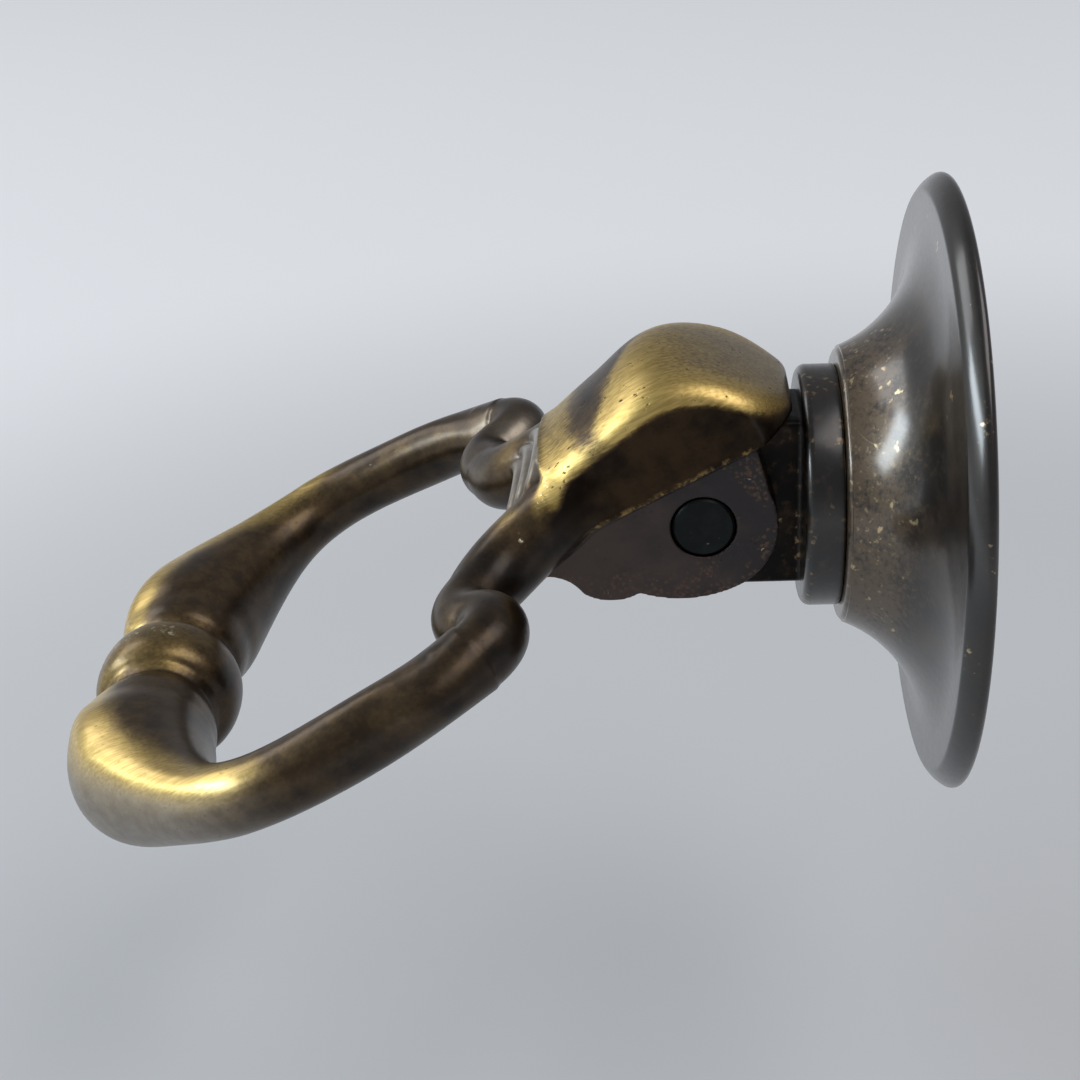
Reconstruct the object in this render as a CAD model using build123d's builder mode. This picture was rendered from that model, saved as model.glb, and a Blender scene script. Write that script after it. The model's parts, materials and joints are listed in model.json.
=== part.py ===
from build123d import *
import os
from math import asin, atan2, cos, degrees, hypot, radians, sin

# A drop pull for a drawer, in millimetres. The rosette's flat back lies in the plane y = 0 with its
# centre at the origin, the front of the pull faces -Y, and +Z is up.

# Rosette: a turned plate with a flat border, a rising cove and a flat seat
rosette_radius = 16.0
rim_thickness = 1.3
rim_rounding = 0.35
border_width = 2.5
seat_radius = 7.2
seat_height = 5.75
seat_rounding = 0.3

# Post: a tapped shank through the rosette, a collar on its seat and a tongue in front
screw_hole_radius = 1.75
screw_hole_depth = 8.0
shank_wall = 1.25
shank_clearance = 0.05
collar_radius = 6.35
collar_thickness = 2.0
collar_rounding = 0.5
tongue_thickness = 4.8
tongue_radius = 4.6

# Pin: tight in the tongue, loose in the ears
pin_radius = 1.59
pin_chamfer = 0.12
ear_bore_clearance = 0.08

# Ears: two cheeks beside the tongue; places are measured down from the pin and back behind it
ear_thickness = 2.4
ear_radius = 3.8
ear_to_collar = 1.27
side_clearance = 0.15
swing_clearance = 0.35
swing_angle = 82.0
belly_bulge = 0.51
bump_start_down = 4.64
bump_start_back = 1.75
bump_bulge = 0.41
bump_end_down = 7.2
bump_end_back = 0.4
cove_hollow = 0.55
toe_down = 9.3
toe_front = 1.6

# Hood: the arched roof over the tongue; its crown line is measured down and out to the front
hood_overhang = 0.25
hood_lip_front = 2.6
hood_rounding = 1.5
hood_section_count = 9
crown_slope = 0.19
heel_front = 3.4
heel_narrowing = 2.2
heel_rounding_sections = 2
heel_pitch = 1.6
crown_up = 1.3
crown_front = 8.45
neck_down = 3.4
neck_front = 7.36
brow_down = 6.1
brow_front = 6.8
stop_gap = 0.3
apron_down = 8.8
apron_front = 4.6
apron_top_down = 5.0
apron_top_front = 5.6
crotch_down = 8.0
crotch_radius = 3.2

# Bail: a cross bar, two rods, two lobes and two branches, all in one plane in front of the pin
bail_front = 3.2
bail_length = 32.15
bail_half_width = 16.75
bead_radius = 4.05
bead_half_width = 2.0
groove_depth = 1.1
groove_half_width = 0.65
groove_step = 0.2
bead_step = 0.3
vase_radius = 3.92
corner_run = 9.95
vase_swell = 0.3
bar_overlap = 1.2
heel_run = 2.1
heel_rise = 0.7
heel_thinning = 0.15
turn_run = 4.2
turn_rise = 2.05
turn_thickening = 1.4
knee_inset = 1.85
knee_rise = 5.5
knee_thickening = 0.25
rod_radius = 1.82
rod_rise = 12.0
shoulder_inset = 1.0
shoulder_drop = 4.9
lobe_inset = 4.4
lobe_down = 9.95
lobe_start = 30.0
lobe_end = 150.0
hook_radius = 1.74
bend_clearance = 0.08
branch_rise = 30.0
branch_inset = 0.1

# Arms: each side wall of the hood runs on into a branch
arm_cover = 0.15
arm_top_down = 2.5
arm_top_front = 4.4
arm_top_radius = 1.75
arm_bend_across = 4.25
arm_bend_down = 6.4
arm_bend_front = 3.95
arm_bend_radius = 1.9
arm_join_length = 2.4
arm_join_swell = 0.15

# Places that follow from the sizes above
shank_radius = screw_hole_radius + shank_wall
bore_radius = shank_radius + shank_clearance
collar_front = seat_height + collar_thickness
pin_standoff = ear_radius + ear_to_collar
pin_height = collar_front + pin_standoff
pin_place = (0, -pin_height, 0)
slot_width = tongue_thickness + 2 * side_clearance
slot_radius = tongue_radius + swing_clearance
ear_width = slot_width + 2 * ear_thickness
hood_width = ear_width + 2 * hood_overhang
ear_bore_radius = pin_radius + ear_bore_clearance
groove_radius = bead_radius - groove_depth
groove_out = bead_half_width + 2 * groove_half_width
vase_across = bail_half_width - corner_run
bar_end = vase_across - bar_overlap
lobe_across = bail_half_width - lobe_inset
bend_radius = hook_radius + bend_clearance

# At rest the rim and the bead touch the same level surface, and the hood's heel is at the collar
bail_reach = hypot(bail_length, bail_front)
bail_lean = atan2(bail_front, bail_length)
rest_droop = degrees(asin((rosette_radius - bead_radius) / bail_reach) + bail_lean)
lift_from_hanging = rest_droop - 90
heel_reach = pin_standoff - stop_gap + hood_lip_front * sin(radians(rest_droop))
heel_up = heel_reach / cos(radians(rest_droop))

FRONT = (0, -1, 0)
ACROSS = (1, 0, 0)
bail_plane = Plane((0, -bail_front, 0), x_dir=ACROSS, z_dir=FRONT)


def turned(radius, height):
    """A point of a profile turned about the rosette's axis, at a height over its back."""
    return (radius, -height)


def side(down, front):
    """A point of the pendant's side view as it hangs, from the pin."""
    return (-front, -down)


def face_on(across, down):
    """A point in the bail's plane as the pendant hangs, from the pin."""
    return Vector(across, -bail_front, -down)


def in_bail(point):
    """The same point as a pair, for lines drawn in the bail's plane."""
    return (point.X, point.Y)


os.makedirs("parts", exist_ok=True)

# Rosette
with BuildPart() as rosette:
    with BuildSketch() as rosette_profile:
        with BuildLine():
            border_foot = turned(rosette_radius - border_width, rim_thickness)
            seat_corner = turned(seat_radius, seat_height)
            back = Line(turned(bore_radius, 0), turned(rosette_radius, 0))
            edge = Line(back @ 1, turned(rosette_radius, rim_thickness))
            border = Line(edge @ 1, border_foot)
            cove = TangentArc(border_foot, seat_corner, tangent=border % 1)
            seat = Line(cove @ 1, turned(bore_radius, seat_height))
            Line(seat @ 1, back @ 0)
        make_face()
        rim_corners = rosette_profile.vertices().group_by(Axis.X)[-1]
        fillet(rim_corners, min(rim_rounding, 0.4 * rim_thickness))
        fillet(rosette_profile.vertices().sort_by_distance(seat_corner)[0], seat_rounding)
    revolve(axis=Axis.Y)
rosette.part.label = "rosette"
export_step(rosette.part, "parts/rosette.step")

# Post
with BuildPart() as post:
    with BuildSketch() as post_profile:
        with BuildLine():
            collar_corner = turned(collar_radius, collar_front)
            Polyline(
                turned(0, 0),
                turned(shank_radius, 0),
                turned(shank_radius, seat_height),
                turned(collar_radius, seat_height),
                collar_corner,
                turned(0, collar_front),
                close=True,
            )
        make_face()
        corner = post_profile.vertices().sort_by_distance(collar_corner)[0]
        fillet(corner, min(collar_rounding, 0.4 * collar_thickness))
    revolve(axis=Axis.Y)
    with BuildSketch(Plane.YZ):
        with BuildLine():
            foot_top = (-seat_height - collar_thickness / 2, tongue_radius)
            foot_low = (-seat_height - collar_thickness / 2, -tongue_radius)
            top = Line(foot_top, (-pin_height, tongue_radius))
            nose = RadiusArc(top @ 1, (-pin_height, -tongue_radius), -tongue_radius)
            low = Line(nose @ 1, foot_low)
            Line(low @ 1, foot_top)
        make_face()
    extrude(amount=tongue_thickness / 2, both=True)
    with BuildSketch(Plane.YZ):
        with Locations((-pin_height, 0)):
            Circle(pin_radius)
    extrude(amount=tongue_thickness, both=True, mode=Mode.SUBTRACT)
    with BuildSketch(Plane.XZ):
        Circle(screw_hole_radius)
    extrude(amount=screw_hole_depth, mode=Mode.SUBTRACT)
post.part.label = "post"
export_step(post.part, "parts/post.step")

# Pin, flush with the outside of the ears
with BuildPart() as pin:
    with BuildSketch(Plane.YZ):
        with Locations((-pin_height, 0)):
            Circle(pin_radius)
    extrude(amount=ear_width / 2, both=True)
    chamfer(pin.edges().filter_by(GeomType.CIRCLE), pin_chamfer)
pin.part.label = "pin"
export_step(pin.part, "parts/pin.step")

# Centre lines of the bail's hook, in the bail's plane as the pendant hangs
lobe_centre = Vector(lobe_across, -lobe_down - bend_radius)
dip_centre = lobe_centre + Vector(2 * bend_radius, 0).rotate(Axis.Z, lobe_end)
hook_start = lobe_centre + Vector(bend_radius, 0).rotate(Axis.Z, lobe_start)
hook_heading = Vector(0, 1).rotate(Axis.Z, lobe_start)
branch_start = dip_centre + Vector(bend_radius, 0).rotate(Axis.Z, -90 - branch_rise)
branch_heading = Vector(-1, 0).rotate(Axis.Z, -branch_rise)
arm_join = branch_start + branch_heading * arm_join_length

# Stations of one rod from the bar to the lobe: across, down and radius
rod_stations = [
    (groove_out + vase_swell, bail_length, groove_radius - groove_half_width),
    (vase_across, bail_length, vase_radius),
    (vase_across + heel_run, bail_length - heel_rise, vase_radius - heel_thinning),
    (vase_across + turn_run, bail_length - turn_rise, rod_radius + turn_thickening),
    (bail_half_width - knee_inset, bail_length - knee_rise, rod_radius + knee_thickening),
    (bail_half_width, bail_length - rod_rise, rod_radius),
    (bail_half_width - shoulder_inset, lobe_down + shoulder_drop, rod_radius),
    (hook_start.X, -hook_start.Y, rod_radius),
]

# Stations of one arm from the hood to the branch: place and radius
arm_top_across = hood_width / 2 - arm_top_radius - arm_cover
arm_stations = [
    (Vector(arm_top_across, -arm_top_front, -arm_top_down), arm_top_radius),
    (Vector(arm_bend_across, -arm_bend_front, -arm_bend_down), arm_bend_radius),
    (face_on(arm_join.X, -arm_join.Y), hook_radius + arm_join_swell),
    (face_on(branch_start.X, -branch_start.Y), hook_radius - branch_inset),
]

# Pendant, drawn hanging straight down with the pin at the origin
with BuildPart() as hanging:
    # Hood, lofted along its crown line
    crown_line = Spline(
        (-heel_up, heel_front),
        (-crown_up, crown_front),
        (neck_down, neck_front),
        (brow_down, brow_front),
        tangents=((1, heel_pitch), (neck_down - brow_down, neck_front - brow_front)),
        tangent_scalars=(1, -1),
        mode=Mode.PRIVATE,
    )
    for number in range(hood_section_count):
        crown = crown_line @ (number / (hood_section_count - 1))
        with BuildSketch(Plane.XY.offset(-crown.X)) as hood_section:
            with BuildLine():
                to_heel = max(0, 1 - number / heel_rounding_sections)
                half = hood_width / 2 - heel_narrowing * to_heel**2
                eaves = crown.Y - crown_slope * (crown.Y - hood_lip_front)
                floor = Line((-half, -hood_lip_front), (half, -hood_lip_front))
                right = Line(floor @ 1, (half, -eaves))
                roof = ThreePointArc(right @ 1, (0, -crown.Y), (-half, -eaves))
                Line(roof @ 1, floor @ 0)
            make_face()
            wall = eaves - hood_lip_front
            fillet(hood_section.vertices().group_by(Axis.Y)[0], min(hood_rounding, 0.7 * wall))
    loft()

    # Ears and apron: the outline under the hood, with a bump and a cove in front of the pin
    with BuildSketch(Plane.YZ):
        with BuildLine():
            lip = side(-ear_radius - hood_rounding / 2, hood_lip_front + hood_rounding / 2)
            heel = side(-ear_radius, 0)
            back_edge = Line(lip, heel)
            round_end = RadiusArc(heel, side(0, -ear_radius), ear_radius)
            belly = SagittaArc(round_end @ 1, side(bump_start_down, -bump_start_back), belly_bulge)
            bump = SagittaArc(belly @ 1, side(bump_end_down, -bump_end_back), bump_bulge)
            hollow = SagittaArc(bump @ 1, side(toe_down, toe_front), -cove_hollow)
            apron = Line(hollow @ 1, side(apron_down, apron_front))
            apron_top = Line(apron @ 1, side(apron_top_down, apron_top_front))
            Line(apron_top @ 1, lip)
        make_face()
    extrude(amount=ear_width / 2, both=True)

    # The apron's front is hollowed between the branches
    with BuildSketch(Plane.XZ):
        with Locations((0, -crotch_down - crotch_radius)):
            Circle(crotch_radius)
    extrude(amount=apron_front + ear_radius, both=True, mode=Mode.SUBTRACT)

    # Cross bar with its bead between two grooves
    with BuildSketch(Plane(face_on(0, bail_length), x_dir=ACROSS, z_dir=FRONT)):
        with BuildLine():
            bar_corner = (bar_end, vase_radius - vase_swell)
            groove_shoulder = (groove_out, groove_radius + groove_step)
            groove_floor = (bead_half_width + groove_half_width, groove_radius)
            bead_foot = (bead_half_width, groove_radius + bead_step)
            bead_top = (0, bead_radius)
            Polyline(bead_top, (0, 0), (bar_end, 0), bar_corner)
            Spline(bar_corner, groove_shoulder, tangents=((-1, -0.1), (-0.8, -0.6)))
            Polyline(groove_shoulder, groove_floor, bead_foot)
            Spline(bead_foot, bead_top, tangents=((-0.5, 1), (-1, 0)))
        make_face()
        mirror(about=Plane.YZ)
    revolve(axis=Axis(face_on(0, bail_length), ACROSS))

    # Rod of one side, from the bar to the lobe
    rod_points = [face_on(across, down) for across, down, radius in rod_stations]
    rod_end_heading = (hook_heading.X, 0, hook_heading.Y)
    rod_path = Spline(*rod_points, tangents=(ACROSS, rod_end_heading), mode=Mode.PRIVATE)
    for place, (across, down, radius) in zip(rod_points, rod_stations):
        heading = rod_path % rod_path.param_at_point(place)
        with BuildSketch(Plane(place, x_dir=FRONT, z_dir=heading)):
            Circle(radius)
    loft()

    # Hook of one side: over the lobe, through the dip and along the branch to the arm
    with BuildLine(bail_plane) as hook_path:
        Line(in_bail(hook_start - hook_heading * hook_radius), in_bail(hook_start))
        CenterArc(in_bail(lobe_centre), bend_radius, lobe_start, lobe_end - lobe_start)
        CenterArc(in_bail(dip_centre), bend_radius, lobe_end - 180, 90 - branch_rise - lobe_end)
        Line(in_bail(branch_start), in_bail(arm_join))
    with BuildSketch(Plane(hook_path.line @ 0, x_dir=FRONT, z_dir=hook_path.line % 0)):
        Circle(hook_radius)
    sweep(path=hook_path.line)

    # Arm of one side, from inside the hood's wall out along the branch
    arm_path = Spline(
        *[place for place, radius in arm_stations],
        tangents=((0, 0, -1), (-branch_heading.X, 0, -branch_heading.Y)),
        mode=Mode.PRIVATE,
    )
    for place, radius in arm_stations:
        heading = arm_path % arm_path.param_at_point(place)
        with BuildSketch(Plane(place, x_dir=FRONT, z_dir=heading)):
            Circle(radius)
    loft()

    # The other side is the same
    mirror(about=Plane.YZ)

    # Slot for the tongue over the whole swing, and the bore for the pin
    with BuildSketch(Plane.YZ):
        Circle(slot_radius)
        for droop in (rest_droop, rest_droop + swing_angle):
            foot = (Align.MIN, Align.CENTER)
            Rectangle(2 * pin_standoff, 2 * slot_radius, rotation=90 - droop, align=foot)
    extrude(amount=slot_width / 2, both=True, mode=Mode.SUBTRACT)
    with BuildSketch(Plane.YZ):
        Circle(ear_bore_radius)
    extrude(amount=ear_width, both=True, mode=Mode.SUBTRACT)

# The pendant at rest on its pin
with BuildPart() as pendant:
    with Locations(Location(pin_place, (lift_from_hanging, 0, 0))):
        add(hanging.part)
pendant.part.label = "pendant"
export_step(pendant.part, "parts/pendant.step")
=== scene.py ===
"""A drop pull in antique brass.

A turned rosette, a post with a collar, a hinge pin, and a cast pendant rubbed bright on its
high places.
"""

import json
import math

import bmesh
import bpy
import numpy as np
from mathutils import Matrix, Vector


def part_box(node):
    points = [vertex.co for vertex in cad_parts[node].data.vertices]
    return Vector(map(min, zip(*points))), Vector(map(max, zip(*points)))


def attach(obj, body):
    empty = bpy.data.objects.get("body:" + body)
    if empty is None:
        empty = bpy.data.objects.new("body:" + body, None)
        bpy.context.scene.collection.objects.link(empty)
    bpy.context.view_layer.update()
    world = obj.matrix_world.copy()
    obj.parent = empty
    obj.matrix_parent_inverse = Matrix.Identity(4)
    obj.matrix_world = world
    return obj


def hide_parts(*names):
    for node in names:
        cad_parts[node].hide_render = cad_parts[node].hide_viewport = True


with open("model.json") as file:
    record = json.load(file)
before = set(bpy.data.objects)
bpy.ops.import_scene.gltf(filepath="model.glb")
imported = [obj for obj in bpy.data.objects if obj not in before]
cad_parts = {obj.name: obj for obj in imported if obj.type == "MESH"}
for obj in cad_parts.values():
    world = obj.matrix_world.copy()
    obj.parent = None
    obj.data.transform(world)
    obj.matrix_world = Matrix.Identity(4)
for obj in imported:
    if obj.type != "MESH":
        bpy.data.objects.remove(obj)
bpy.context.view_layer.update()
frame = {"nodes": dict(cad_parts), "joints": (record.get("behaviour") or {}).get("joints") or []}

MM = 0.001

# Sizes of the frame
rosette_low, rosette_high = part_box("rosette")
post_low, post_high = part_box("post")
pin_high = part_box("pin")[1]
rosette_radius = rosette_high.z
seat_height = -rosette_low.y
collar_radius = post_high.z
pin_place = Vector(frame["joints"][0]["pos_m"])
pin_radius = pin_high.z
pin_half_length = pin_high.x
tongue_radius = pin_place.y - post_low.y

# Sizes of the turned profiles
rim_thickness = 1.3 * MM
rim_rounding = 0.3 * MM
rim_bevel_rounding = 2.0 * MM
rim_bevel_corner = 0.4 * MM
border_width = 2.5 * MM
seat_radius = 7.2 * MM
seat_rounding = 0.3 * MM
bore_radius = 3.05 * MM
collar_thickness = 2.0 * MM
collar_rounding = 0.5 * MM
collar_foot_rounding = 0.15 * MM
shank_radius = 3.0 * MM
tongue_thickness = 4.8 * MM
tongue_rounding = 0.3 * MM
screw_hole_radius = 1.75 * MM
screw_hole_depth = 8.0 * MM
pin_chamfer = 0.12 * MM
around_steps = 160
rod_steps = 96
nose_steps = 48
hole_steps = 64
turned_sharp = 35

# Gaps that count as none when a mesh is closed
seam_gap = 0.001 * MM
merge_gap = 0.0005 * MM
sliver_gap = 0.0001 * MM

# Where the turned finishes change, in mm: heights up the cove, radii of the bevel and the rim, and
# heights of the edge of the collar and of the tongue in front of it
cove_rise = (1.7, 4.6)
bevel_ring = (14.5, 14.9)
rim_ring = (15.4, 15.8)
collar_edge_start, collar_edge_end = (6.9, 7.5), (7.8, 8.2)
collar_front = (seat_height + collar_thickness) / MM
tongue_start = (collar_front, collar_front + 0.2)

# Clear lacquer over the finishes
lacquer_ior = 1.6

# The pendant's own axes at rest: down along the bail, out to its front, and across
rest_droop = math.radians(27.39)
DOWN = np.array((0, -math.cos(rest_droop), -math.sin(rest_droop)))
FRONT = np.array((0, -math.sin(rest_droop), math.cos(rest_droop)))

# Sizes of the casting
ear_half_width = 4.95 * MM
ear_bore_radius = 1.67 * MM
ear_bore_chamfer = 0.1 * MM
cast_voxel = 0.1 * MM
cast_triangles = 185000
cast_sharp = 40
bore_overrun = 0.02 * MM

# Rounds of smoothing: all over with the bulk kept, then more where the casting flows together,
# and for the mask of the hollows
soften_rounds, soften_steps = 16, (0.5, -0.52)
melt_rounds, melt_step = 110, 0.5
hollow_rounds = 8

# Three rounded lips step down the hood's front between the branches, and two thick ones fill the
# room behind them: down, front, radius, and 1 where the lip is arched
front_lips = (
    (6.15 * MM, 6.0 * MM, 0.55 * MM, 1),
    (7.15 * MM, 5.5 * MM, 0.5 * MM, 1),
    (8.05 * MM, 4.95 * MM, 0.5 * MM, 1),
    (6.8 * MM, 4.6 * MM, 1.0 * MM, 1),
    (5.75 * MM, 5.2 * MM, 0.75 * MM, 0),
)
front_lip_half_length = 3.9 * MM
front_lip_steps = 13
front_lip_arch = (0.9 * MM, -0.75 * MM)

# The crest along the outside of each corner, as the pendant hangs: across and down, in mm
crest_line = np.array((
    (4.6, 34.2), (6.9, 33.7), (10.8, 32.2), (14.1, 29.1),
    (16.4, 25.9), (17.7, 22.5), (17.9, 18),
))
crest_height = 0.26 * MM
crest_width = 1.0

# Where the cross bar starts, in mm down from the pin, and the masks that the finish reads
bar_start = 28
mask_names = ("rub", "painted_sheen", "hollow", "brushed", "glint")

# The camera stands beside the pull and looks down on it
camera_azimuth = math.radians(93.66)
camera_elevation = math.radians(26.21)
camera_roll = math.radians(-2.96)
camera_distance = 104 * MM
camera_target = Vector((0, -21.46, -2.90)) * MM
camera_lens = 64.37
camera_sensor = 36
camera_clip = 5 * MM

# The floor and the room: what they look like, and how much light the room gives
floor_clearance = 1 * MM
floor_reach = 3.0
floor_rough = 0.8
floor_colour = (0.48, 0.49, 0.505, 1)
# The floor glows less near the pull than far off: a painted pool of shade around it
floor_glow_near = (0.18, 0.185, 0.195, 1)
floor_glow_far = (0.40, 0.41, 0.43, 1)
floor_near, floor_far = 80 * MM, 170 * MM
horizon_glow = floor_glow_far
horizon_fade = 0.3
room_glow = (0.25, 0.255, 0.27, 1)
room_light = (0.093, 0.095, 0.10, 1)

# Soft boxes: direction from the pull, distance, width, height, power and tint
soft_boxes = {
    "window": ((0.09, -0.92, 0.39), 0.5, 0.32, 0.10, 1.4, (0.82, 0.93, 1.0)),
    "side_window": ((-0.42, -0.74, 0.52), 0.6, 0.28, 0.22, 0.6, (0.96, 0.98, 1.0)),
    "ceiling": ((0.18, 0.42, 0.88), 0.6, 0.5, 0.36, 1.4, (1.0, 0.97, 0.96)),
}


class Value:
    """A socket of a node tree. Arithmetic on it adds Math nodes."""

    def __init__(self, graph, socket):
        self.graph = graph
        self.socket = socket

    def math(self, operation, *others):
        return self.graph.math(operation, self, *others)

    def __add__(self, other):
        return self.math("ADD", other)

    def __sub__(self, other):
        return self.math("SUBTRACT", other)

    def __rsub__(self, other):
        return self.graph.math("SUBTRACT", other, self)

    def __mul__(self, other):
        return self.math("MULTIPLY", other)

    def __truediv__(self, other):
        return self.math("DIVIDE", other)

    __radd__ = __add__
    __rmul__ = __mul__

    def step(self, low, high):
        """0 below low, 1 above high, smooth between."""
        inputs = {0: self, 1: low, 2: high}
        return self.graph.node("ShaderNodeMapRange", inputs, interpolation_type="SMOOTHSTEP")


class Graph:
    """A node tree that is built by calls."""

    def __init__(self, tree):
        self.tree = tree

    def node(self, kind, inputs=None, out=0, **settings):
        node = self.tree.nodes.new(kind)
        for name, value in settings.items():
            setattr(node, name, value)
        for key, value in (inputs or {}).items():
            if isinstance(value, Value):
                self.tree.links.new(value.socket, node.inputs[key])
            else:
                node.inputs[key].default_value = value
        return Value(self, node.outputs[out])

    def math(self, operation, *terms):
        return self.node("ShaderNodeMath", dict(enumerate(terms)), operation=operation)

    def place(self):
        """The place on the piece, in its own axes."""
        return self.node("ShaderNodeTexCoord", out="Object")

    def axes(self, place):
        """The X, Y and Z of a place."""
        split = self.node("ShaderNodeSeparateXYZ", {"Vector": place}).socket.node
        return [Value(self, socket) for socket in split.outputs]

    def mix(self, factor, first, second):
        """The first colour where the factor is 0, the second where it is 1."""
        inputs = {0: factor, 6: first, 7: second}
        return self.node("ShaderNodeMix", inputs, out=2, data_type="RGBA", clamp_factor=True)

    def attribute(self, name):
        return self.node("ShaderNodeAttribute", out="Fac", attribute_name=name)

    def noise(self, place, size, detail=3, rough=0.55):
        """Noise whose features are about that size, in metres."""
        inputs = {"Vector": place, "Scale": 1 / size, "Detail": detail, "Roughness": rough}
        return self.node("ShaderNodeTexNoise", inputs)

    def warped(self, place, size, shift):
        """The place moved about by noise, which frays whatever is drawn there."""
        inputs = {"Vector": place, "Scale": 1 / size, "Detail": 2}
        drift = self.node("ShaderNodeTexNoise", inputs, out=1)
        inputs = {0: drift, 1: (0.5, 0.5, 0.5)}
        centred = self.node("ShaderNodeVectorMath", inputs, operation="SUBTRACT")
        inputs = {0: centred, 1: (shift, shift, shift), 2: place}
        return self.node("ShaderNodeVectorMath", inputs, operation="MULTIPLY_ADD")

    def flecks(self, place, spacing, share):
        """Ragged flecks, each up to that share of their spacing across."""
        frayed = self.warped(place, 0.5 * spacing, 0.9 * spacing)
        away = self.node("ShaderNodeTexVoronoi", {"Vector": frayed, "Scale": 1 / spacing})
        return 1 - away.step(0.4 * share, share)

    def hairlines(self, place, size, width):
        """Fine broken scratches: the middle contour of a broad noise, kept only here and there."""
        away = self.noise(place, size, 0) - 0.5
        line = 1 - away.math("ABSOLUTE").step(0.3 * width / size, width / size)
        return line * self.noise(place, 0.4 * size, 2).step(0.54, 0.62)

    def bump(self, relief, strength, depth):
        inputs = {"Strength": strength, "Distance": depth, "Height": relief}
        return self.node("ShaderNodeBump", inputs)


def colour(red, green, blue):
    return (red, green, blue, 1)


def finish(name, coat, coat_rough):
    """A new material, its graph and its shader."""
    material = bpy.data.materials.new(name)
    material.use_nodes = True
    graph = Graph(material.node_tree)
    shader = material.node_tree.nodes["Principled BSDF"]
    shader.inputs["Coat Weight"].default_value = coat
    shader.inputs["Coat Roughness"].default_value = coat_rough
    shader.inputs["Coat IOR"].default_value = lacquer_ior
    return material, graph, shader


def feed(graph, shader, **sockets):
    """Links values to the shader's sockets: base_color goes to Base Color."""
    for name, value in sockets.items():
        graph.tree.links.new(value.socket, shader.inputs[name.replace("_", " ").title()])


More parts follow.
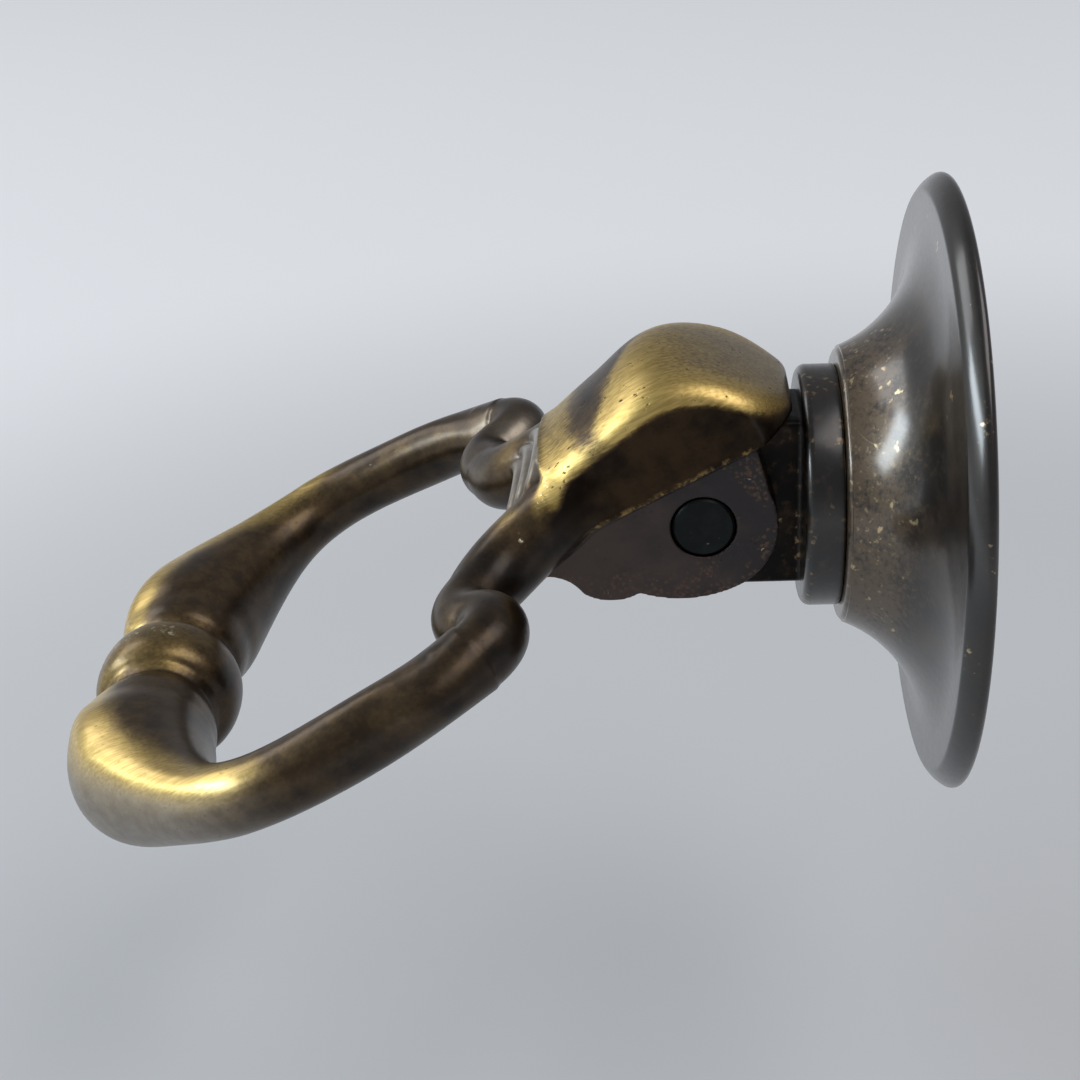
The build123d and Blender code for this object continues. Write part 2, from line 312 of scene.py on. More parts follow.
def pendant_finish():
    """Dark patina over brass, rubbed through by the mesh's own masks, with streaks and pits.

    Places are in mm from the pin, as the pendant hangs.
    """
    material, graph, shader = finish("pendant_brass", 0.18, 0.24)
    place = graph.place()
    turn = (math.pi / 2 - rest_droop, 0, 0)
    to_pin = (0, pin_place.y * -math.sin(rest_droop), pin_place.y * -math.cos(rest_droop))
    hung = graph.node("ShaderNodeMapping", {"Vector": place, "Location": to_pin, "Rotation": turn})
    combed = graph.node("ShaderNodeMapping", {"Vector": hung, "Scale": (1, 1, 0.05)})
    dragged = graph.node("ShaderNodeMapping", {"Vector": hung, "Scale": (1, 1, 0.6)})
    across, front, down = [
        axis * (sign / MM) for axis, sign in zip(graph.axes(hung), (1, -1, -1))
    ]
    side = across.math("ABSOLUTE")
    rub, painted_sheen, hollow, brushed, glint = [graph.attribute(name) for name in mask_names]

    mottle = graph.noise(hung, 2.2 * MM, 4)
    cloud = graph.noise(hung, 0.9 * MM, 4, 0.6)
    grain = graph.noise(hung, 0.22 * MM, 3, 0.65)
    streak = graph.noise(combed, 0.14 * MM, 3, 0.6)

    # The ears' flats lie a little in from the hood's side. Rust gathers at their round and lower
    # edges and around the pin.
    ear_radius, pin_ring = 3.8, 1.9
    low_edge_cos, low_edge_sin = 0.865, 0.502
    flat = side.step(4.86, 4.92) * (1 - side.step(4.99, 5.06)) * (1 - front.step(2.55, 2.75))
    facet = flat * (1 - down.step(9.4, 10.0))
    from_pin = (down * down + front * front).math("SQRT")
    from_low_edge = (front + ear_radius) * low_edge_cos - down * low_edge_sin
    past_pin = down.step(-0.5, 0.5)
    from_edge = from_low_edge * past_pin + (ear_radius - from_pin) * (1 - past_pin)
    rusty = 1 - from_edge.step(0.2, 1.6) + (1 - (from_pin - pin_ring).step(0.1, 0.8)) * 0.6
    rust = graph.flecks(hung, 0.26 * MM, 0.55) * (cloud + rusty * 0.26).step(0.62, 0.8)

    # The hood's lower edge over the ears, worn in places, and the side wall above it
    lip = side.step(5.04, 5.1) * (1 - front.step(2.75, 3.15))
    lip = lip * (1 - down.step(5.5, 7.5)) * (1 - side.step(5.3, 5.5))
    worn = lip * (cloud * 0.6 + grain * 0.4).step(0.42, 0.6)
    wall = side.step(5.1, 5.17) * front.step(2.6, 2.8) * (1 - down.step(4.5, 7.5))

    # Pits in the brushed top, light dust on the flats, and bright specks that are painted glints
    pits = graph.flecks(dragged, 0.3 * MM, 0.27) * cloud.step(0.5, 0.6) * (0.3 + brushed * 0.7)
    dust = graph.flecks(hung, 0.9 * MM, 0.13) * cloud.step(0.5, 0.6)
    painted_sparks = graph.flecks(hung, 0.26 * MM, 0.4) * (cloud * 0.5 + glint * 0.6).step(0.68, 0.84)
    large = graph.flecks(hung, 0.6 * MM, 0.3) * glint.step(0.5, 0.8) * cloud.step(0.4, 0.5)
    painted_sparks = painted_sparks + large

    # How far the patina is rubbed through, and the colours from the dark patina to the bare brass
    bare = rub + (mottle - 0.5) * 0.3 + (grain - 0.5) * (0.1 + rub * 0.2)
    bare = bare + (streak - 0.5) * brushed * 0.45
    bare = bare + worn * 0.45 - hollow * (0.7 - glint * 0.6) - wall * (1 - lip) * 0.2
    shade = mottle.step(0.35, 0.65)
    dark = graph.mix(shade, colour(0.012, 0.0072, 0.0044), colour(0.040, 0.024, 0.0115))
    shade = cloud.step(0.35, 0.65)
    brown = graph.mix(shade, colour(0.07, 0.042, 0.018), colour(0.13, 0.082, 0.034))
    gold = graph.mix(streak.step(0.3, 0.7), colour(0.48, 0.33, 0.10), colour(0.70, 0.51, 0.18))
    # The colour of the painted sheen: a painted reflection of the floor and of the light above,
    # not a colour of the brass
    sheen_grey = graph.mix(cloud.step(0.3, 0.7), colour(0.26, 0.22, 0.175), colour(0.35, 0.305, 0.245))
    metal = graph.mix(bare.step(0.02, 0.42), dark, brown)
    metal = graph.mix(bare.step(0.3, 0.8), metal, gold)
    metal = graph.mix(painted_sheen, metal, sheen_grey)
    reddish = (mottle * 0.6 + down.step(-4, 6) * 0.4).step(0.35, 0.75)
    cheek = graph.mix(reddish, colour(0.030, 0.024, 0.025), colour(0.078, 0.053, 0.045))
    cheek = graph.mix(rust * 0.85, cheek, colour(0.13, 0.075, 0.05))
    base = graph.mix(facet, metal, cheek)
    base = graph.mix(pits * 0.85, base, colour(0.008, 0.006, 0.004))
    # Near-white specks: painted glints where the glint mask is, and real dust on the flats
    base = graph.mix(painted_sparks * 0.75 + dust * facet * 0.6, base, colour(0.9, 0.79, 0.55))

    baring = bare.step(0.2, 0.8)
    metallic = (0.72 + baring * 0.28 + wall * 0.2) * (1 - facet * 0.4)
    rough = 0.36 + (grain - 0.5) * 0.14 + brushed * 0.06 + facet * 0.14
    rough = rough + pits * 0.3 - painted_sparks * 0.15
    relief = (grain - 0.5) * (0.4 + glint * 1.6) + (streak - 0.5) * brushed * 0.5
    relief = relief - pits * 1.2 + painted_sparks + (cloud - 0.5) * (0.7 - painted_sheen * 0.4)
    coat = 0.18 + painted_sheen.step(0.88, 1) * 0.4 - facet * 0.14 - pits * 0.15 - wall * 0.15
    bump = graph.bump(relief, 0.4, 0.03 * MM)
    feed(graph, shader, base_color=base, metallic=metallic, roughness=rough)
    feed(graph, shader, coat_weight=coat, normal=bump)
    return material


def rosette_finish():
    """Dark lacquered patina with gold flecks and scratches that thicken towards the seat."""
    material, graph, shader = finish("rosette_brass", 0.78, 0.18)
    place = graph.place()
    across, depth, up = graph.axes(place)
    from_axis = (across * across + up * up).math("SQRT")
    near_seat = (depth * (-1 / MM)).step(*cove_rise)
    on_bevel = (from_axis * (1 / MM)).step(*bevel_ring)
    on_rim = (from_axis * (1 / MM)).step(*rim_ring)
    ring = graph.node("ShaderNodeCombineXYZ", {"X": from_axis, "Y": depth})

    mottle = graph.noise(place, 3.2 * MM, 4)
    cloud = graph.noise(place, 1.1 * MM, 5, 0.65)
    grain = graph.noise(place, 0.32 * MM, 4, 0.7)
    lathe = graph.noise(ring, 0.12 * MM, 2)
    crowd = graph.noise(place, 2.4 * MM, 2) + near_seat * 0.24 - 0.12
    small = graph.flecks(place, 0.34 * MM, 0.46) * crowd.step(0.46, 0.7) * grain.step(0.42, 0.6)
    large = graph.flecks(place, 1.0 * MM, 0.24) * crowd.step(0.5, 0.62)
    chips = graph.flecks(place, 0.6 * MM, 0.22) * on_rim * cloud.step(0.5, 0.62)
    scratches = graph.hairlines(place, 5.0 * MM, 0.03 * MM) * near_seat
    gilt = (small * 0.6 + large * 0.9 + chips * 0.5 + scratches * 0.3).step(0, 1)

    wash = (cloud * 0.4 + grain * 0.5 + mottle * 0.1 + near_seat * 0.12).step(0.48, 0.66)
    shade = mottle.step(0.35, 0.68)
    brown = graph.mix(shade, colour(0.012, 0.0088, 0.0066), colour(0.040, 0.025, 0.014))
    brown = graph.mix(wash * (0.25 + near_seat * 0.75), brown, colour(0.125, 0.085, 0.048))
    brown = graph.mix(on_bevel * 0.7, brown, colour(0.007, 0.006, 0.0055))
    base = graph.mix(gilt, brown, colour(0.54, 0.42, 0.23))
    rough = 0.4 + (grain - 0.5) * 0.2 - gilt * 0.08
    relief = (cloud - 0.5) * 1.2 + (grain - 0.5) * 0.35 + (lathe - 0.5) * 0.2 + gilt * 0.4
    bump = graph.bump(relief, 0.25, 0.03 * MM)
    feed(graph, shader, base_color=base, metallic=0.5 + gilt * 0.4, roughness=rough, normal=bump)
    return material


def post_finish():
    """Near-black patina under lacquer, with brown-gold flecks, most on the collar's front edge."""
    material, graph, shader = finish("post_brass", 0.65, 0.23)
    place = graph.place()
    height = graph.axes(place)[1] * (-1 / MM)
    front_edge = height.step(*collar_edge_start) * (1 - height.step(*collar_edge_end))
    on_tongue = height.step(*tongue_start)
    mottle = graph.noise(place, 2.0 * MM, 4)
    cloud = graph.noise(place, 0.8 * MM, 4, 0.6)
    grain = graph.noise(place, 0.25 * MM, 3, 0.65)
    gilt = graph.flecks(place, 0.42 * MM, 0.42) * (mottle + front_edge * 0.12).step(0.56, 0.68)
    shade = mottle.step(0.4, 0.7)
    brown = graph.mix(shade, colour(0.006, 0.005, 0.0045), colour(0.02, 0.013, 0.009))
    brown = graph.mix(cloud.step(0.52, 0.72) * 0.7, brown, colour(0.055, 0.034, 0.02))
    base = graph.mix(gilt * 0.75, brown, colour(0.34, 0.24, 0.12))
    rough = 0.38 + (grain - 0.5) * 0.2
    relief = (grain - 0.5) * 0.4 + (cloud - 0.5)
    bump = graph.bump(relief, 0.35, 0.03 * MM)
    metallic = 0.45 + gilt * 0.4 + on_tongue * 0.45
    coat = 0.65 - on_tongue * 0.6
    feed(graph, shader, base_color=base, metallic=metallic, roughness=rough)
    feed(graph, shader, coat_weight=coat, normal=bump)
    return material


def pin_finish():
    """Dull cut end, black with a trace of green and a few pale specks."""
    material, graph, shader = finish("pin_brass", 0.05, 0.3)
    place = graph.place()
    mottle = graph.noise(place, 0.9 * MM, 4)
    grain = graph.noise(place, 0.15 * MM, 3, 0.6)
    specks = graph.flecks(place, 0.7 * MM, 0.14) * mottle.step(0.5, 0.6)
    shade = mottle.step(0.35, 0.7)
    black = graph.mix(shade, colour(0.006, 0.008, 0.0078), colour(0.015, 0.018, 0.0172))
    base = graph.mix(specks, black, colour(0.28, 0.27, 0.24))
    rough = 0.5 + (grain - 0.5) * 0.3
    bump = graph.bump(grain, 0.3, 0.02 * MM)
    feed(graph, shader, base_color=base, metallic=0.7 + mottle * 0.3, roughness=rough, normal=bump)
    return material


def seen(graph):
    """1 for what the camera sees, straight or in a mirror, and 0 for what lights the pull."""
    rays = graph.node("ShaderNodeLightPath").socket.node.outputs
    camera, glossy, through = [
        Value(graph, rays[name])
        for name in ("Is Camera Ray", "Is Glossy Ray", "Is Transmission Ray")
    ]
    return camera + glossy + through


def floor_finish():
    """Pale table top, paler further off.

    The camera and mirrors see it brighter than it lights the pull, and dimmer near the pull, which
    paints a broad pool of shade around it.
    """
    material, graph, shader = finish("floor", 0.0, 0.1)
    place = graph.place()
    away = graph.node("ShaderNodeVectorMath", {0: place}, out="Value", operation="LENGTH")
    glow = graph.mix(away.step(floor_near, floor_far), floor_glow_near, floor_glow_far)
    glow = graph.mix(seen(graph), colour(0, 0, 0), glow)
    feed(graph, shader, emission_color=glow)
    shader.inputs["Base Color"].default_value = floor_colour
    shader.inputs["Roughness"].default_value = floor_rough
    shader.inputs["Emission Strength"].default_value = 1
    return material


def turned_tree():
    """A tree that turns a profile about the rosette's axis.

    The profile's points hold radius and height.
    """
    tree = bpy.data.node_groups.new("turned", "GeometryNodeTree")
    sockets = {"Profile": "Geometry", "Points": "Int", "Around": "Int", "Finish": "Material"}
    for name, kind in sockets.items():
        tree.interface.new_socket(name, in_out="INPUT", socket_type="NodeSocket" + kind)
    tree.interface.new_socket("Piece", in_out="OUTPUT", socket_type="NodeSocketGeometry")
    graph = Graph(tree)
    given = tree.nodes.new("NodeGroupInput")
    profile, points, around, stuff = [Value(graph, given.outputs[name]) for name in sockets]
    grid = graph.node("GeometryNodeMeshGrid", {"Vertices X": around + 1, "Vertices Y": points})
    index = graph.node("GeometryNodeInputIndex")
    row = index.math("MODULO", points)
    column = (index / points).math("FLOOR")
    where = graph.node("GeometryNodeInputPosition")
    sample = {"Geometry": profile, "Value": where, "Index": row}
    point = graph.node("GeometryNodeSampleIndex", sample, data_type="FLOAT_VECTOR")
    radius, height = graph.axes(point)[:2]
    angle = column * (2 * math.pi) / around
    right, up = radius * angle.math("COSINE"), radius * angle.math("SINE")
    place = graph.node("ShaderNodeCombineXYZ", {"X": right, "Y": 0 - height, "Z": up})
    turned = graph.node("GeometryNodeSetPosition", {"Geometry": grid, "Position": place})
    closed = graph.node("GeometryNodeMergeByDistance", {"Geometry": turned, "Distance": seam_gap})
    solid = graph.node("GeometryNodeRealizeInstances", {"Geometry": closed})
    piece = graph.node("GeometryNodeSetMaterial", {"Geometry": solid, "Material": stuff})
    tree.links.new(piece.socket, tree.nodes.new("NodeGroupOutput").inputs[0])
    return tree


def add_object(name, data):
    piece = bpy.data.objects.new(name, data)
    bpy.context.scene.collection.objects.link(piece)
    return piece


def piece_from(name, work):
    """A new piece that takes over a bmesh."""
    mesh = bpy.data.meshes.new(name)
    work.to_mesh(mesh)
    work.free()
    return add_object(name, mesh)


def evaluated_mesh(piece):
    """The piece's mesh with its modifiers applied."""
    depsgraph = bpy.context.evaluated_depsgraph_get()
    return bpy.data.meshes.new_from_object(piece.evaluated_get(depsgraph))


def settle(piece):
    """Applies the piece's modifiers, closes the mesh and turns its faces outwards."""
    mesh = evaluated_mesh(piece)
    piece.modifiers.clear()
    piece.data = mesh
    work = bmesh.new()
    work.from_mesh(mesh)
    bmesh.ops.remove_doubles(work, verts=work.verts, dist=merge_gap)
    bmesh.ops.dissolve_degenerate(work, edges=work.edges, dist=sliver_gap)
    bmesh.ops.recalc_face_normals(work, faces=work.faces)
    work.to_mesh(mesh)
    work.free()
    return piece


def smooth_shade(piece, angle):
    """Smooth faces, with edges over that many degrees left sharp."""
    piece.data.shade_smooth()
    piece.data.set_sharp_from_angle(angle=math.radians(angle))


def turned_piece(name, profile, tree, material):
    """A piece turned from a closed profile of (radius, height) points."""
    mesh = bpy.data.meshes.new(name)
    mesh.from_pydata([(radius, height, 0) for radius, height in profile], [], [])
    piece = add_object(name, mesh)
    modifier = piece.modifiers.new("turned", "NODES")
    modifier.node_group = tree
    values = {"Points": len(profile), "Around": around_steps, "Finish": material}
    for item in tree.interface.items_tree:
        if item.name in values:
            modifier[item.identifier] = values[item.name]
    return settle(piece)


def arc(centre, radius, start, end, steps=10):
    """Points of an arc, with its angles in degrees."""
    angles = np.radians(np.linspace(start, end, steps))
    return [(centre[0] + radius * math.cos(t), centre[1] + radius * math.sin(t)) for t in angles]


def line(start, end, steps):
    """Points of a straight run."""
    return [tuple(point) for point in np.linspace(start, end, steps)]


def rosette_profile():
    """Back, rim with a broad soft bevel, flat border, cove and seat."""
    r = rim_rounding
    border_foot = rosette_radius - border_width
    run = border_foot - seat_radius
    rise = seat_height - rim_thickness
    cove_radius = (run ** 2 + rise ** 2) / (2 * rise)
    cove_end = math.degrees(math.atan2(rise - cove_radius, -run))
    corner, broad = rim_bevel_corner, rim_bevel_rounding
    slack = broad - corner
    long, short = slack * math.sqrt(3) / 2, slack / 2
    side_centre = (rosette_radius - corner, rim_thickness - corner - (long - short))
    broad_centre = (side_centre[0] - long, side_centre[1] - short)
    face_centre = (broad_centre[0] + short, broad_centre[1] + long)
    points = line((bore_radius, 0), (rosette_radius - r, 0), 8)
    points += arc((rosette_radius - r, r), r, -90, 0)
    points += arc(side_centre, corner, 0, 30, 5)
    points += arc(broad_centre, broad, 32, 58, 9)
    points += arc(face_centre, corner, 60, 90, 5)
    points += line((face_centre[0] - 0.1 * corner, rim_thickness), (border_foot, rim_thickness), 8)
    points += arc((border_foot, rim_thickness + cove_radius), cove_radius, -91, cove_end + 2, 40)
    seat_corner = (seat_radius - seat_rounding, seat_height - seat_rounding)
    points += arc(seat_corner, seat_rounding, 20, 90, 6)
    points += line((seat_radius - 2 * seat_rounding, seat_height), (bore_radius, seat_height), 6)
    points.append(points[0])
    return points


def collar_profile():
    """Shank through the rosette, and the collar on its seat."""
    front = seat_height + collar_thickness
    r = collar_rounding
    f = collar_foot_rounding
    points = [(0, 0), (shank_radius, 0), (shank_radius, seat_height)]
    points += [(collar_radius - f, seat_height)]
    points += arc((collar_radius - f, seat_height + f), f, -90, 0, 5)
    points += arc((collar_radius - r, front - r), r, 0, 90)
    points += [(0, front), (0, 0)]
    return points


def cut(piece, tool, operation):
    """Joins a closed tool to the piece or takes it away."""
    modifier = piece.modifiers.new(operation.lower(), "BOOLEAN")
    modifier.operation = operation
    modifier.solver = "EXACT"
    modifier.object = tool
    settle(piece)
    bpy.data.objects.remove(tool)


def straight(centre, half_length, radius, end_radius):
    """Centres and radii along a straight rod, chamfered or flared at its ends."""
    run = half_length - abs(end_radius - radius)
    places = (-half_length, -run, run, half_length)
    sizes = (end_radius, radius, radius, end_radius)
    return [(centre + Vector((x, 0, 0)), size) for x, size in zip(places, sizes)]


def across_rod(name, stations):
    """A round rod that runs along X through those centres, with a radius at each."""
    work = bmesh.new()
    rings = []
    for centre, radius in stations:
        ring = []
        for number in range(rod_steps):
            angle = 2 * math.pi * number / rod_steps
            place = centre + Vector((0, radius * math.cos(angle), radius * math.sin(angle)))
            ring.append(work.verts.new(place))
        rings.append(ring)
    for first, second in zip(rings, rings[1:]):
        for number in range(rod_steps):
            after = (number + 1) % rod_steps
            work.faces.new((first[number], first[after], second[after], second[number]))
    work.faces.new(rings[0])
    work.faces.new(rings[-1])
    bmesh.ops.recalc_face_normals(work, faces=work.faces)
    return piece_from(name, work)


def tongue():
    """The flat tongue with a rounded end that stands in front of the collar."""
    foot = -(seat_height + collar_thickness / 2)
    outline = [(foot, -tongue_radius)]
    for number in range(nose_steps + 1):
        angle = math.pi * number / nose_steps
        out, up = tongue_radius * math.sin(angle), -tongue_radius * math.cos(angle)
        outline.append((pin_place.y - out, up))
    outline.append((foot, tongue_radius))
    work = bmesh.new()
    face = work.faces.new([work.verts.new((-tongue_thickness / 2, y, z)) for y, z in outline])
    moved = bmesh.ops.extrude_face_region(work, geom=[face])
    verts = [v for v in moved["geom"] if isinstance(v, bmesh.types.BMVert)]
    bmesh.ops.translate(work, verts=verts, vec=(tongue_thickness, 0, 0))
    bmesh.ops.recalc_face_normals(work, faces=work.faces)
    rims = [e for e in work.edges if abs(e.verts[0].co.x - e.verts[1].co.x) < seam_gap]
    bmesh.ops.bevel(
        work, geom=rims, offset=tongue_rounding, segments=4, profile=0.5, affect="EDGES",
    )
    return piece_from("tongue", work)


def screw_hole():
    """The hole for the fixing screw, as a solid to take away."""
    work = bmesh.new()
    turn = Matrix.Rotation(math.pi / 2, 4, "X")
    bmesh.ops.create_cone(
        work, cap_ends=True, segments=hole_steps, radius1=screw_hole_radius,
        radius2=screw_hole_radius, depth=2 * screw_hole_depth, matrix=turn,
    )
    return piece_from("screw_hole", work)


def read_points(mesh):
    points = np.empty(len(mesh.vertices) * 3)
    mesh.vertices.foreach_get("co", points)
    return points.reshape(-1, 3)


def read_normals(mesh):
    normals = np.empty(len(mesh.vertices) * 3, np.float32)
    mesh.vertex_normals.foreach_get("vector", normals)
    return normals.reshape(-1, 3).astype(float)


class Surface:
    """The neighbours of a mesh's points, for averaging values over the surface."""

    def __init__(self, mesh):
        edges = np.empty(len(mesh.edges) * 2, np.int64)
        mesh.edges.foreach_get("vertices", edges)
        self.first, self.second = edges.reshape(-1, 2).T
        self.size = len(mesh.vertices)
        self.count = np.bincount(edges, minlength=self.size)

    def mean(self, values):
        flat = values.reshape(self.size, -1)
        total = np.empty_like(flat)
        for axis in range(flat.shape[1]):
            column = flat[:, axis]
            total[:, axis] = np.bincount(self.first, column[self.second], self.size)
            total[:, axis] += np.bincount(self.second, column[self.first], self.size)
        return (total / np.maximum(self.count, 1)[:, None]).reshape(values.shape)


def hung_axes(points):
    """Across, down and front of points, from the pin, as the pendant hangs."""
    offset = points - np.array(pin_place)
    return offset[:, 0], offset @ DOWN, offset @ FRONT


def bell(value, middle, width):
    """1 at the middle, falling off to both sides."""
    return np.exp(-((value - middle) / width) ** 2)


def rise(value, low, high):
    """0 below low, 1 above high, smooth between."""
    share = np.clip((value - low) / (high - low), 0, 1)
    return share * share * (3 - 2 * share)


def add_lips(piece):
    """Lays the lips into the hood's front, arched so that their ends sink into the arms."""
    work = bmesh.new()
    work.from_mesh(piece.data)
    for down, front, radius, arched in front_lips:
        stations = []
        for share in np.linspace(-1, 1, front_lip_steps):
            bend = arched * share**2
            place = DOWN * (down + front_lip_arch[0] * bend)
            place += FRONT * (front + front_lip_arch[1] * bend)
            place[0] = share * front_lip_half_length
            stations.append((pin_place + Vector(place), radius))
        lip = across_rod("lip", stations)
        work.from_mesh(lip.data)
        bpy.data.objects.remove(lip)
    work.to_mesh(piece.data)
    work.free()


def cast_pendant(material):
    """The pendant as a casting: the CAD solid and the lips, with every join flowed together."""
    source = frame["nodes"]["pendant"]
    piece = add_object("cast_pendant", source.data.copy())
    piece.data.materials.clear()
    piece.data.materials.append(material)
    settle(piece)
    add_lips(piece)
    remesh = piece.modifiers.new("cast", "REMESH")
    remesh.mode = "VOXEL"
    remesh.voxel_size = cast_voxel
    settle(piece)
    flow(piece.data)
    thin = piece.modifiers.new("thin", "DECIMATE")
    thin.ratio = min(1, cast_triangles / (2 * len(piece.data.polygons)))
    settle(piece)
    bore_half_length = ear_half_width + bore_overrun
    bore_mouth = ear_bore_radius + ear_bore_chamfer
    bore = straight(pin_place, bore_half_length, ear_bore_radius, bore_mouth)
    cut(piece, across_rod("bore", bore), "DIFFERENCE")
    smooth_shade(piece, cast_sharp)
    paint_masks(piece.data)
    return piece


def from_crest(side, down):
    """How far places are from the crest line, all in mm."""
    away = np.full(len(side), np.inf)
    for start, end in zip(crest_line, crest_line[1:]):
        run = end - start
        out, along = side - start[0], down - start[1]
        share = np.clip((out * run[0] + along * run[1]) / (run @ run), 0, 1)
        away = np.minimum(away, np.hypot(out - share * run[0], along - share * run[1]))
    return away


def crest(side, down):
    """1 on the crest line and 0 away from it."""
    return bell(from_crest(side, down), 0, crest_width) * rise(down, 18, 25)


def flow(mesh):
    """Softens the casting and raises its crests.

    It is softest where the arms leave the hood, at the hood's heel and at the bail's corners.
    """
    surface = Surface(mesh)
    points = read_points(mesh)
    across, down, front = hung_axes(points)
    x, d, f = np.abs(across) / MM, down / MM, front / MM
    root = bell(d, 7.2, 2.6) * rise(f, 1.6, 2.8) * rise(x, 3.4, 4.6) * (1 - rise(x, 8, 10))
    heel = (1 - rise(d, -6.2, -4.6)) * rise(f, 2.0, 3.0)
    corner = rise(d, 24, 27) * rise(x, 4.6, 5.8)
    for number in range(soften_rounds):
        for step in soften_steps:
            points += step * (surface.mean(points) - points)
    soft = np.clip(root + heel + corner, 0, 1)[:, None]
    for number in range(melt_rounds):
        points += melt_step * soft * (surface.mean(points) - points)
    mesh.vertices.foreach_set("co", points.ravel())
    mesh.update()
    normals = read_normals(mesh)
    raised = crest(x, d) * rise(normals @ FRONT, 0.1, 0.6)
    points += normals * (crest_height * raised)[:, None]
    mesh.vertices.foreach_set("co", points.ravel())
    mesh.update()


def paint_masks(mesh):
    """Point masks that the finish reads. Places are in mm from the pin, as the pendant hangs.

    rub is bared brass, the sheen mask a painted reflection, hollow a recess, brushed the hood's
    combed top, and glint the places on the hood's front corners, the branches and the bead where
    glints are painted as bright specks and raised by bumps.
    """
    surface = Surface(mesh)
    points = read_points(mesh)
    normals = read_normals(mesh)
    across, down, front = hung_axes(points)
    x, d, f = across / MM, down / MM, front / MM
    side = np.abs(x)
    to_down, to_front = normals @ DOWN, normals @ FRONT
    curl = np.einsum("ij,ij->i", surface.mean(points) - points, normals) / MM
    for number in range(hollow_rounds):
        curl = surface.mean(curl)
    hollow = rise(curl, 0.001, 0.005)

    # The hood: bright along its edges and brow, dark in a patch past the brow, and darkened at its
    # waist by painted shade
    hood = 1 - rise(d, 5.6, 6.5)
    eaves = 2.2 + 1.4 * rise(d, -6.5, 1) + 1.5 * rise(d, 1.5, 4.0) - 0.9 * rise(d, 4.4, 6)
    top = rise(to_front, -0.06, 0.4) * rise(f, eaves, eaves + 1)
    edge = rise(side, 2.2, 4.6)
    patch_start = 0.9 + 0.42 * (x - 0.75)
    patch = rise(d - patch_start, -0.5, 0.7) * (1 - rise(d, 2.8, 4.7)) * (1 - rise(x, 3.9, 4.9))
    brow = bell(d, -0.2, 1.6) * rise(x, -2, 2)
    back = 1 - rise(d, -4.8, -1.2)
    # Painted shade at the waist: the near edge is darkened there to dim its highlight
    waist_shade = bell(d, 2.7, 1.4) * rise(side, 3.6, 4.7)
    hood_rub = 0.62 + 0.3 * edge + 0.25 * brow - 0.5 * patch
    hood_rub = top * (hood_rub - 0.05 * back * (1 - edge) - 0.4 * waist_shade)

    # The bail: bright on its crests, bead and knuckles, darker on the outside of its branches
    up = rise(to_front, -0.2, 0.6)
    bar = rise(d, 20, 28)
    turn = rise(d, 26, 31)
    outward = turn * to_down + (1 - turn) * normals[:, 0] * np.sign(x)
    bared = (1 - rise(from_crest(side, d), 0.5, 3.0)) * up
    bead = (1 - rise(side, 2.6, 4.0)) * (d > bar_start)
    knuckle = bell(d, 8.6, 1.2) * bell(side, 5.3, 1.2)
    bail_rub = 0.12 + 0.12 * up + 0.55 * bar * bared + 0.3 * crest(side, d) * up
    bail_rub += up * (0.2 * bead + 0.3 * knuckle)
    branch = bell(d, 9.0, 2.6) * rise(side, 4.4, 5.8)
    inward = rise(-normals[:, 0] * np.sign(x), 0.0, 0.6)
    bail_rub -= 0.12 * branch * (1 - inward)

    # Grey painted sheen, a painted reflection of the floor and of the light above: on the bar's
    # outside, the branches' inside and the hood's back, and painted highlight bands on the lips
    painted_sheen = bar * (1 - rise(to_front, 0.45, 0.85)) * rise(outward, -0.2, 0.4) * (1 - bead) * 0.85
    lips = rise(d, 5.9, 6.3) * (1 - rise(d, 8.6, 9.4))
    lips = lips * (1 - rise(side, 3.0, 3.8)) * rise(f, 4.2, 4.8)
    painted_sheen = painted_sheen + 0.8 * branch * inward * up + 0.5 * hood * top * back * (1 - edge) + lips

    # A trail of painted glints from the hood's front corner down each branch, which is also rubbed
    # brighter
    trail_width = bell(side, 4.5 + 0.9 * (d - 5.65), 0.7)
    trail = trail_width * rise(d, 4.9, 5.6) * (1 - rise(d, 6.8, 8.0)) * up
    rub = hood * hood_rub + (1 - hood) * bail_rub + 0.6 * trail * (1 - rise(d, 6.0, 7.6))
    rub = np.clip(rub, 0, 1)
    glint = trail * (1 - rise(d, 6.4, 7.2)) + 0.95 * bell(d, 8.15, 0.45) * trail_width * up
    glint = glint + 0.8 * (d > bar_start) * bell(side, 0, 1.2) * rise(to_front, 0.5, 0.8)

    for name, values in zip(mask_names, (rub, painted_sheen, hollow, hood * top, glint)):
        attribute = mesh.attributes.new(name, "FLOAT", "POINT")
        attribute.data.foreach_set("value", values.astype(np.float32))


def place_camera():
    """The camera at the photograph's angle, turned about its own line of sight by the roll."""
    a, e, r = camera_azimuth, camera_elevation, camera_roll
    back = Vector((math.sin(a) * math.cos(e), -math.cos(a) * math.cos(e), math.sin(e)))
    right = Vector((math.cos(a), math.sin(a), 0))
    up = back.cross(right)
    rolled_right = right * math.cos(r) + up * math.sin(r)
    rolled_up = up * math.cos(r) - right * math.sin(r)
    turn = Matrix((rolled_right, rolled_up, back)).transposed().to_4x4()
    data = bpy.data.cameras.new("camera")
    data.lens = camera_lens
    data.sensor_width = camera_sensor
    data.clip_start = camera_clip
    camera = add_object("camera", data)
    camera.matrix_world = Matrix.Translation(camera_target + back * camera_distance) @ turn
    bpy.context.scene.camera = camera


def add_lamp(name, direction, distance, width, height, power, tint):
    """A soft box that shines on the pull from that direction."""
    data = bpy.data.lights.new(name, "AREA")
    data.shape = "RECTANGLE"
    data.size = width
    data.size_y = height
    data.energy = power
    data.color = tint
    lamp = add_object(name, data)
    way = Vector(direction).normalized()
    lamp.location = camera_target + way * distance
    lamp.rotation_euler = way.to_track_quat("Z", "Y").to_euler()


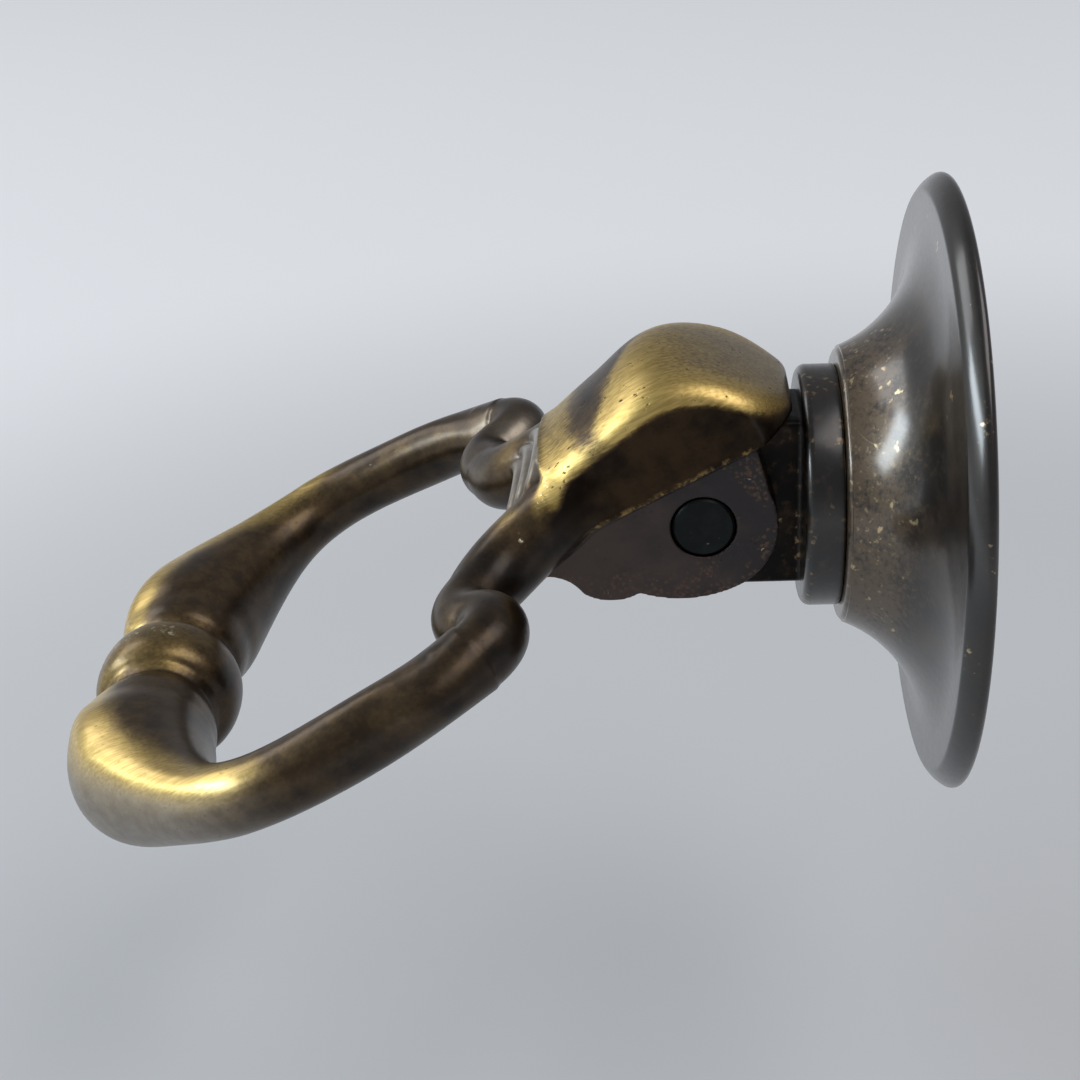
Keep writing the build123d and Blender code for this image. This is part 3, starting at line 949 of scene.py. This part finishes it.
def set_stage():
    """A pale floor, window light from the front and the left of the pull, and light from above.

    The floor lies clear of the pendant at every swing.
    """
    _, down, front = hung_axes(read_points(frame["nodes"]["pendant"].data))
    floor_height = pin_place.z - np.hypot(down, front).max() - floor_clearance
    mesh = bpy.data.meshes.new("floor")
    corners = [
        (x * floor_reach, y * floor_reach, floor_height)
        for x, y in ((-1, -1), (1, -1), (1, 1), (-1, 1))
    ]
    mesh.from_pydata(corners, [], [(0, 1, 2, 3)])
    floor = add_object("floor", mesh)
    mesh.materials.append(floor_finish())
    for name, values in soft_boxes.items():
        add_lamp(name, *values)
    world = bpy.data.worlds.new("room")
    bpy.context.scene.world = world
    world.use_nodes = True
    graph = Graph(world.node_tree)
    backdrop = world.node_tree.nodes["Background"]
    way = graph.node("ShaderNodeTexCoord", out="Generated")
    height = graph.axes(way)[2]
    glow = graph.mix(height.step(0, horizon_fade), horizon_glow, room_glow)
    feed(graph, backdrop, color=graph.mix(seen(graph), room_light, glow))
    bpy.context.scene.view_settings.view_transform = "Standard"


def main():
    turned = turned_tree()
    rosette = turned_piece("turned_rosette", rosette_profile(), turned, rosette_finish())
    smooth_shade(rosette, turned_sharp)
    post_brass = post_finish()
    post = turned_piece("post_and_collar", collar_profile(), turned, post_brass)
    cut(post, tongue(), "UNION")
    cut(post, screw_hole(), "DIFFERENCE")
    post.data.materials.clear()
    post.data.materials.append(post_brass)
    smooth_shade(post, turned_sharp)
    pin_ends = straight(pin_place, pin_half_length, pin_radius, pin_radius - pin_chamfer)
    pin = across_rod("hinge_pin", pin_ends)
    pin.data.materials.append(pin_finish())
    smooth_shade(pin, turned_sharp)
    pendant = cast_pendant(pendant_finish())

    pieces = (
        (rosette, "base", "rosette", "rosette_brass"),
        (post, "base", "post", "post_brass"),
        (pin, "base", "pin", "pin_brass"),
        (pendant, "pendant", "pendant", "pendant_brass"),
    )
    for piece, body, node, slot in pieces:
        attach(piece, body)
        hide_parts(node)
    place_camera()
    set_stage()


main()
